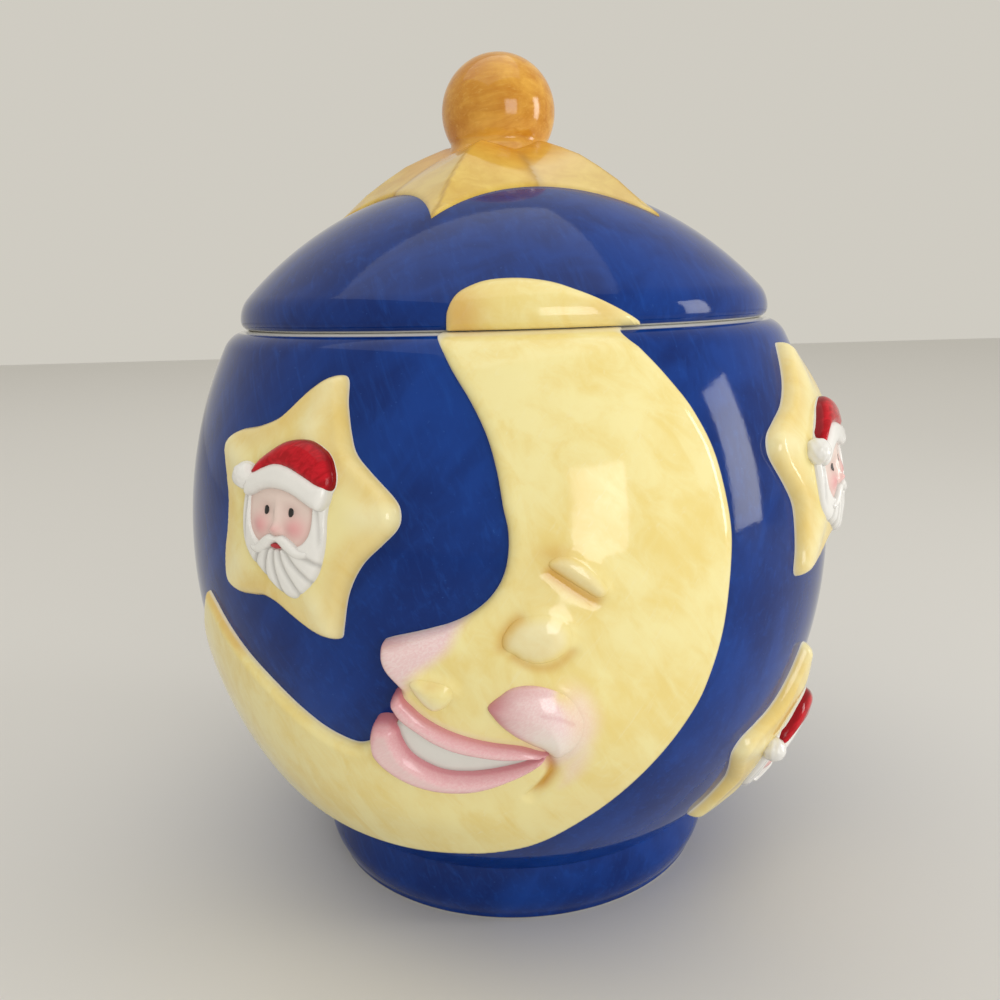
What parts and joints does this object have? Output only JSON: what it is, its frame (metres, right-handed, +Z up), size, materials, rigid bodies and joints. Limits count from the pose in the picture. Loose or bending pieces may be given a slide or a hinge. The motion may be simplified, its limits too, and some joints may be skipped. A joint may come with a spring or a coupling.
{
  "type": "biscuit jar",
  "caption": "Ovoid glazed stoneware biscuit jar on a foot ring, with a raised crescent moon face, applied stars and a lift-off domed lid with a ball knob.",
  "frame": {"origin": "centre of the foot ring's resting face, on the jar's axis", "axes": "+Z up along the jar's axis, -Y towards the front where the moon's face looks, +X to the viewer's right"},
  "size_m": [0.2238, 0.2308, 0.28],
  "materials": {
    "blue_glaze": "gloss",
    "yellow_glaze": "gloss",
    "amber_glaze": "gloss",
    "pink_glaze": "gloss",
    "white_glaze": "gloss",
    "red_glaze": "gloss",
    "skin_glaze": "gloss",
    "black_glaze": "gloss"
  },
  "bodies": {
    "jar": {"jar_body": "blue_glaze", "foot_ring": "blue_glaze", "moon_crescent": "yellow_glaze", "moon_nose": "pink_glaze", "moon_nostril": "yellow_glaze", "moon_upper_lip": "pink_glaze", "moon_lower_lip": "pink_glaze", "moon_teeth": "white_glaze", "moon_cheek": "pink_glaze", "moon_eyelid": "yellow_glaze", "moon_brow": "yellow_glaze", "star_left": "yellow_glaze", "star_left_cap": "red_glaze", "star_left_fur_trim": "white_glaze", "star_left_face": "skin_glaze", "star_left_beard": "white_glaze", "star_left_eyes": "black_glaze", "star_right": "yellow_glaze", "star_right_cap": "red_glaze", "star_right_fur_trim": "white_glaze", "star_right_face": "skin_glaze", "star_right_beard": "white_glaze", "star_right_eyes": "black_glaze", "star_lower_right": "yellow_glaze", "star_lower_right_cap": "red_glaze", "star_lower_right_fur_trim": "white_glaze", "star_lower_right_face": "skin_glaze", "star_lower_right_beard": "white_glaze", "star_lower_right_eyes": "black_glaze", "star_back_right": "yellow_glaze", "star_back_right_cap": "red_glaze", "star_back_right_fur_trim": "white_glaze", "star_back_right_face": "skin_glaze", "star_back_right_beard": "white_glaze", "star_back_right_eyes": "black_glaze", "star_back_left": "yellow_glaze", "star_back_left_cap": "red_glaze", "star_back_left_fur_trim": "white_glaze", "star_back_left_face": "skin_glaze", "star_back_left_beard": "white_glaze", "star_back_left_eyes": "black_glaze"},
    "lid": {"lid": "blue_glaze", "lid_star": "yellow_glaze", "lid_moon_tip": "yellow_glaze", "finial_ball": "amber_glaze"}
  },
  "joints": [
    {"name": "lid_lift", "type": "slide", "parent": "jar", "child": "lid", "axis": [0, 0, 1], "range_m": [0, 0.15]}
  ]
}
